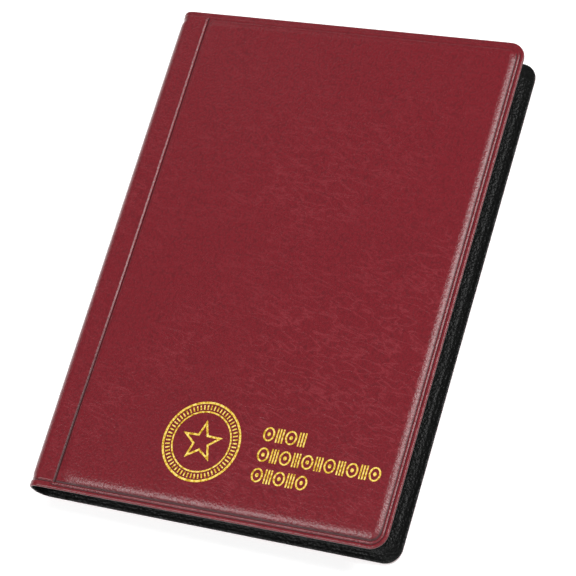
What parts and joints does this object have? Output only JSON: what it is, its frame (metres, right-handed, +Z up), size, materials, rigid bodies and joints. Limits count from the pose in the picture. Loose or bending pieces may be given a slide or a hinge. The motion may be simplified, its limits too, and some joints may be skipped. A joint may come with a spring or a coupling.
{
  "type": "pocket coin album",
  "caption": "Pocket coin album with stiff leatherette covers, a soft round spine and black leaves of clear coin pockets; the covers and leaves swing open flat.",
  "frame": {"origin": "centre of the album's footprint, on the surface it lies on", "axes": "+X from the spine to the fore-edge, +Y from tail to head, +Z up through the front cover"},
  "size_m": [0.124, 0.17, 0.0172],
  "materials": {
    "cover_skin": "burgundy PVC leatherette, fine pebble grain, satin",
    "lining": "black PVC leatherette, fine grain, satin",
    "board": "grey board, matt",
    "foil": "gold hot-stamping foil, slightly broken gloss",
    "page_sheet": "black PVC sheet, fine matt",
    "pocket_film": "clear soft PVC film, glossy"
  },
  "bodies": {
    "back_cover": {"back_cover_skin": "cover_skin", "back_board": "board", "back_lining": "lining"},
    "spine": {"spine_skin": "cover_skin", "spine_lining": "lining", "page_binding": "lining"},
    "front_cover": {"front_cover_skin": "cover_skin", "front_board": "board", "front_lining": "lining", "front_emblem": "foil", "front_ornament": "foil"},
    "page_01": {"page_backing_01": "page_sheet", "pocket_strips_01": "pocket_film", "pocket_flaps_01": "pocket_film"},
    "page_02": {"page_backing_02": "page_sheet", "pocket_strips_02": "pocket_film", "pocket_flaps_02": "pocket_film"},
    "page_03": {"page_backing_03": "page_sheet", "pocket_strips_03": "pocket_film", "pocket_flaps_03": "pocket_film"},
    "page_04": {"page_backing_04": "page_sheet", "pocket_strips_04": "pocket_film", "pocket_flaps_04": "pocket_film"},
    "page_05": {"page_backing_05": "page_sheet", "pocket_strips_05": "pocket_film", "pocket_flaps_05": "pocket_film"},
    "page_06": {"page_backing_06": "page_sheet", "pocket_strips_06": "pocket_film", "pocket_flaps_06": "pocket_film"},
    "page_07": {"page_backing_07": "page_sheet", "pocket_strips_07": "pocket_film", "pocket_flaps_07": "pocket_film"},
    "page_08": {"page_backing_08": "page_sheet", "pocket_strips_08": "pocket_film", "pocket_flaps_08": "pocket_film"},
    "page_09": {"page_backing_09": "page_sheet", "pocket_strips_09": "pocket_film", "pocket_flaps_09": "pocket_film"},
    "page_10": {"page_backing_10": "page_sheet", "pocket_strips_10": "pocket_film", "pocket_flaps_10": "pocket_film"}
  },
  "joints": [
    {"name": "spine_fold", "type": "hinge", "parent": "back_cover", "child": "spine", "pos_m": [-0.06062, 0, 0.00218], "axis": [0, -1, 0], "range_deg": [0, 90]},
    {"name": "front_cover_fold", "type": "hinge", "parent": "spine", "child": "front_cover", "pos_m": [-0.06062, 0, 0.01102], "axis": [0, -1, 0], "range_deg": [0, 88.06]},
    {"name": "page_turn_01", "type": "hinge", "parent": "spine", "child": "page_01", "pos_m": [-0.05735, 0, 0.00305], "axis": [0, -1, 0], "range_deg": [-78.1, 0]},
    {"name": "page_turn_02", "type": "hinge", "parent": "spine", "child": "page_02", "pos_m": [-0.05735, 0, 0.00381], "axis": [0, -1, 0], "range_deg": [-68.29, 0]},
    {"name": "page_turn_03", "type": "hinge", "parent": "spine", "child": "page_03", "pos_m": [-0.05735, 0, 0.00457], "axis": [0, -1, 0], "range_deg": [-58.48, 0]},
    {"name": "page_turn_04", "type": "hinge", "parent": "spine", "child": "page_04", "pos_m": [-0.05735, 0, 0.00533], "axis": [0, -1, 0], "range_deg": [-48.68, 0]},
    {"name": "page_turn_05", "type": "hinge", "parent": "spine", "child": "page_05", "pos_m": [-0.05735, 0, 0.00609], "axis": [0, -1, 0], "range_deg": [-38.87, 0]},
    {"name": "page_turn_06", "type": "hinge", "parent": "spine", "child": "page_06", "pos_m": [-0.05735, 0, 0.00685], "axis": [0, -1, 0], "range_deg": [0, 36.93]},
    {"name": "page_turn_07", "type": "hinge", "parent": "spine", "child": "page_07", "pos_m": [-0.05735, 0, 0.00761], "axis": [0, -1, 0], "range_deg": [0, 46.74]},
    {"name": "page_turn_08", "type": "hinge", "parent": "spine", "child": "page_08", "pos_m": [-0.05735, 0, 0.00837], "axis": [0, -1, 0], "range_deg": [0, 56.55]},
    {"name": "page_turn_09", "type": "hinge", "parent": "spine", "child": "page_09", "pos_m": [-0.05735, 0, 0.00913], "axis": [0, -1, 0], "range_deg": [0, 66.35]},
    {"name": "page_turn_10", "type": "hinge", "parent": "spine", "child": "page_10", "pos_m": [-0.05735, 0, 0.00989], "axis": [0, -1, 0], "range_deg": [0, 76.16]}
  ],
  "couplings": [
    {"joint": "front_cover_fold", "follows": "spine_fold", "ratio": 0.97844},
    {"joint": "page_turn_01", "follows": "spine_fold", "ratio": -0.86774},
    {"joint": "page_turn_02", "follows": "spine_fold", "ratio": -0.75879},
    {"joint": "page_turn_03", "follows": "spine_fold", "ratio": -0.64983},
    {"joint": "page_turn_04", "follows": "spine_fold", "ratio": -0.54088},
    {"joint": "page_turn_05", "follows": "spine_fold", "ratio": -0.43192},
    {"joint": "page_turn_06", "follows": "spine_fold", "ratio": 0.41037},
    {"joint": "page_turn_07", "follows": "spine_fold", "ratio": 0.51932},
    {"joint": "page_turn_08", "follows": "spine_fold", "ratio": 0.62828},
    {"joint": "page_turn_09", "follows": "spine_fold", "ratio": 0.73723},
    {"joint": "page_turn_10", "follows": "spine_fold", "ratio": 0.84619}
  ]
}
